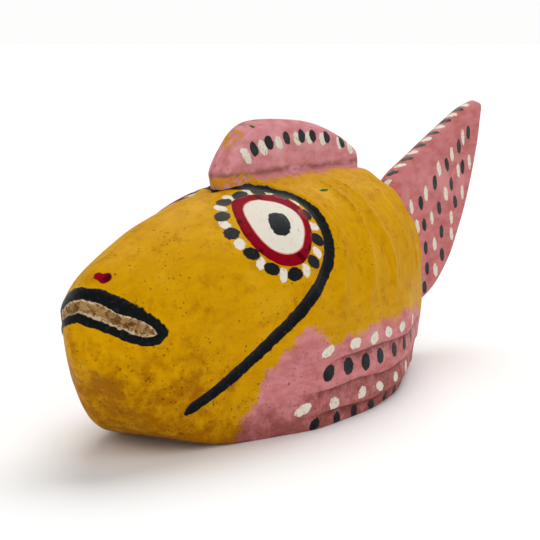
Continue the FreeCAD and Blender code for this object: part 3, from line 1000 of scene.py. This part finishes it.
def body_paint():
    m = Surface(bpy.data.materials, "painted_body")
    ribs, soil = m.field("ribs"), m.field("soil")
    lengthways = m.times(m.noise(3.0, 4.0, (0.22, 1, 1)), m.math("SUBTRACT", 1.0, ribs))
    strokes = m.plus(lengthways, m.noise(2.6, 4.0, (1, 1, 0.2), shift=9), ribs)
    patches = m.noise(24, 4.0)
    yellow = m.mix(m.step(strokes, 0.3, 0.75, 0.0, 0.85), YELLOW, YELLOW_DEEP)
    yellow = m.mix(m.step(patches, 0.5, 0.8, 0.0, 0.7), yellow, YELLOW_PALE)
    pink = m.mix(m.step(strokes, 0.35, 0.7), PINK, PINK_DEEP)
    pink = m.mix(m.step(patches, 0.55, 0.8), pink, PINK_PALE)
    smudge = m.jitter(m.field("pink"), m.noise(7, 5.0, rough=0.7), 16.0)
    pinkness = m.step(m.jitter(smudge, m.noise(1.3, rough=0.7), 11.0), -1.2, 1.2)

    # Wear on crests; stains and painted shade low down; smudges and painted shade in hollows; dots,
    # pores
    dirt = m.mix(pinkness, DIRT_AND_SHADE_BROWN, PINK_DIRT_AND_SHADE)
    stain_and_shade = m.mix(pinkness, STAIN_AND_SHADE, PINK_STAIN_AND_SHADE)
    worn = m.times(m.step(m.field("worn"), 0.9, 1.0), m.step(m.noise(6, 4.0), 0.36, 0.56))
    # Random stains, and painted shade over the chin and the lowest part of the block
    soiled = m.step(m.plus(m.noise(8, 8.0, rough=0.76, shift=6), soil, 0.2), 0.5, 0.78)
    # Smudges, and painted shade under the lap edges and in the gill groove
    grime_and_shade = m.step(m.plus(m.noise(6, 8.0, rough=0.78), m.field("dirt"), 0.42), 0.56, 0.84)
    dots = m.times(m.spots(1.1, 0.34, 7.7), m.step(m.noise(6, shift=8), 0.46, 0.64))
    where = m.step(m.plus(m.noise(9, shift=5), soil, 0.12), 0.46, 0.62)
    pores = m.times(m.most(m.spots(2.6, 0.2), m.spots(1.5, 0.27, 1.3)), where)
    pores = m.most(pores, m.spots(5.5, 0.11, 3.3))
    colour = m.cover(m.mix(pinkness, yellow, pink), (worn, 0.65, WORN), (soiled, 0.8, stain_and_shade),
                     (grime_and_shade, 0.75, dirt), (dots, 0.55, stain_and_shade), (pores, 0.62, dirt),
                     (m.ragged("fleck", 0.5, 1.6), 1.0, GREEN))
    height = m.plus(m.times(m.noise(0.9), 0.05), strokes, 0.14)
    height = m.plus(height, pores, -0.25)

    # The dabs, the eye, and the black lines
    colour, height, black = paint_layers(m, colour, height)
    red = m.ragged("red", 0.35, 3.0)
    pupil, line = m.ragged("pupil", 0.8, 1.6), m.ragged("line", 0.8, 2.6)
    inset = m.math("SUBTRACT", m.field("cream"), RIM_WIDTH)
    cream = m.step(m.jitter(inset, m.noise(2.2), 0.6), -EDGE_BLUR, EDGE_BLUR)
    inked = m.most(pupil, line)
    mottled_red = m.mix(m.step(m.noise(6, 2.0, shift=2), 0.5, 0.62), RED, RED_DARK)
    mottled_cream = m.mix(m.step(m.noise(1.8), 0.6, 0.8), CREAM, CREAM_DIRTY)
    # Grey streaks in the black lines: partly worn paint, partly painted sheen
    ink = m.mix(m.step(m.noise(1.5, 5.0, rough=0.7), 0.54, 0.76, 0.0, 0.7), BLACK, BLACK_GREY)
    colour = m.cover(colour, (red, 1.0, mottled_red), (m.ragged("cream", 0.3, 3.0), 1.0, RIM_PINK),
                     (cream, 1.0, mottled_cream), (inked, 1.0, ink))
    for layer in (red, pupil, line):
        height = m.plus(height, layer, 0.15)

    # The bare wood in the mouth, and that of the hollow and the underside
    raw, bare = m.ragged("raw", 0.6, 1.6), m.ragged("bare", 2.0, 5.0, 0.4)
    grain = m.noise(2.4, 5.0, rough=0.7, warp=0.8)
    fibres = m.noise(1.6, 5.0, (0.06, 1, 1), rough=0.65)
    rim = m.step(m.jitter(m.field("raw"), grain, 3.5), 0.1, 0.8, 1.0, 0.0)
    wood = m.mix(rim, m.mix(m.step(grain, 0.42, 0.62), RAW_WOOD, RAW_WOOD_DARK), RAW_WOOD_PALE)
    colour = m.cover(colour, (raw, 1.0, wood),
                     (bare, 1.0, m.mix(m.step(fibres, 0.35, 0.7), *INSIDE_WOODS)))
    height = m.plus(height, m.times(raw, grain), 0.9)
    height = m.plus(height, m.times(bare, fibres), 0.25)
    roughness = m.plus(m.step(strokes, 0.3, 0.8, 0.46, 0.6), m.most(raw, bare), 0.25)
    return m.finish(colour, roughness, height, m.plus(PAINT_SHINE, m.most(inked, black), INK_SHINE))


def fin_paint(name, base, deep, pale):
    m = Surface(bpy.data.materials, name)
    strokes = m.noise(3.4, 4.0, (0.3, 1, 1))
    pink = m.mix(m.step(strokes, 0.35, 0.7), base, deep)
    pink = m.mix(m.step(m.noise(22), 0.48, 0.75), pink, pale)
    brown = m.step(m.noise(12, 6.0, rough=0.7, shift=4), 0.52, 0.78)
    # Painted shade along the crease at the foot of the dorsal fin
    crease = m.times(m.field("dirt"), m.step(m.noise(3, 5.0, (0.3, 1, 1)), 0.3, 0.6))
    pores = m.times(m.spots(3.2, 0.13), m.step(m.noise(14, 2.0, shift=5), 0.45, 0.6))
    worn = m.times(m.step(m.field("worn"), 0.25, 0.9), m.step(m.noise(5, 5.0), 0.46, 0.64))
    smear = m.times(m.ragged("smear", 2.4, 3.0, 0.8), m.step(m.noise(2.4, 4.0), 0.42, 0.55))
    colour = m.cover(pink, (brown, 0.5, FIN_BROWN), (crease, 0.7, DIRT_AND_SHADE_BROWN),
                     (pores, 0.7, DIRT_AND_SHADE_BROWN), (worn, 0.7, FIN_WORN), (smear, 1.0, OCHRE_SMEAR),
                     (m.ragged("fleck", 0.5, 1.6), 1.0, GREEN))
    height = m.plus(m.times(strokes, 0.16), pores, -0.25)
    colour, height, black = paint_layers(m, colour, height)
    roughness = m.step(strokes, 0.3, 0.8, 0.42, 0.6)
    return m.finish(colour, roughness, height, m.plus(PAINT_SHINE, black, INK_SHINE))


def plain_wood(name, pale, dark, grain_size):
    m = Surface(bpy.data.materials, name)
    fibres = m.noise(grain_size, 5.0, (0.05, 1, 1), rough=0.65)
    rings = m.step(m.noise(grain_size * 6, 2.0, (0.04, 1, 1), warp=1.2), 0.45, 0.6)
    colour = m.mix(m.step(fibres, 0.35, 0.68), pale, dark)
    colour = m.cover(colour, (rings, 0.35, dark), (m.step(m.noise(18, 4.0), 0.5, 0.8), 0.4, DIRT_AND_SHADE_BROWN))
    return m.finish(colour, m.step(fibres, 0.3, 0.7, 0.5, 0.7), m.times(fibres, 0.22), WOOD_SHINE)


# ---- putting it together
def coat(obj, material):
    obj.data.materials.clear()
    obj.data.materials.append(material)


def place(obj, body, slot, material, *nodes):
    coat(obj, material)
    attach(obj, body)
    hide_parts(*nodes)


def make_stage():
    rim = circle((0, 0, 0), FLOOR_RADIUS, 2, FLOOR_SIDES)
    floor = mesh_object("floor", rim, [tuple(range(FLOOR_SIDES))])
    paper = Surface(bpy.data.materials, "pale_floor")
    paper.feed(paper.tree.nodes["Principled BSDF"],
               {"Base Color": FLOOR_COLOUR, "Roughness": 0.9, "Specular IOR Level": 0.1})
    coat(floor, paper.owner)


def make_world():
    """A pale surround: white round the horizon, a softer grey overhead."""
    sky = Surface(bpy.data.worlds, "studio")
    height = sky.node("ShaderNodeSeparateXYZ", {0: sky.places["Generated"]}).outputs["Z"]
    strength = sky.step(height, *SKY_FADE, *SKY_STRENGTHS)
    sky.feed(sky.tree.nodes["Background"], {"Color": SKY_COLOUR, "Strength": strength})
    bpy.context.scene.world = sky.owner


def look_back(obj, direction):
    """Turns a light or camera to look back along the direction."""
    obj.rotation_euler = (-direction).to_track_quat("-Z", "Y").to_euler()


def soft_light(name, direction, spread, strength):
    """A far, wide light; direction points from the object to it, and spread is in degrees."""
    data = bpy.data.lights.new(name, "SUN")
    data.angle = math.radians(spread)
    data.energy = strength
    look_back(add_object(name, data), Vector(direction))


def make_camera():
    """The view from ahead of the fish's left side, a little above it."""
    azimuth, elevation = np.radians((CAMERA_AZIMUTH, CAMERA_ELEVATION))
    back = Vector((math.sin(azimuth) * math.cos(elevation),
                   -math.cos(azimuth) * math.cos(elevation), math.sin(elevation)))
    data = bpy.data.cameras.new("camera")
    data.lens, data.sensor_width = LENS, SENSOR_WIDTH
    camera = add_object("camera", data)
    camera.location = Vector(CAMERA_TARGET) + back * CAMERA_DISTANCE
    look_back(camera, back)
    bpy.context.scene.camera = camera


def main():
    make_camera()
    make_stage()
    make_world()
    bpy.context.scene.view_settings.view_transform = "Standard"
    for name, settings in LIGHTS.items():
        soft_light(name, *settings)
    dorsal_pink = fin_paint("painted_dorsal", *DORSAL_PINKS)
    tail_pink = fin_paint("painted_tail", *TAIL_PINKS)
    bare = plain_wood("bare_board", *BOARD_WOODS, 1.8)
    peg = plain_wood("peg_wood", *PEG_WOODS, 1.2)
    stick = plain_wood("stick_wood", *STICK_WOODS, 1.0)
    place(make_body(), "fish", "painted_block", body_paint(), "body_shell")
    place(make_dorsal_fin(), "fish", "painted_fin", dorsal_pink, "dorsal_fin")
    place(make_tail_fin(), "fish", "painted_fin", tail_pink, "tail_fin")
    place(make_belly_board(), "fish", "bare_wood", bare, "belly_board")
    place(make_pegs(), "fish", "peg_wood", peg, "tail_fin_pegs")
    place(make_scraper(), "scraper", "stick_wood", stick, "scraper")
    for name in ("belly_board_pins", "dorsal_fin_dowels"):
        coat(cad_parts[name], peg)


main()
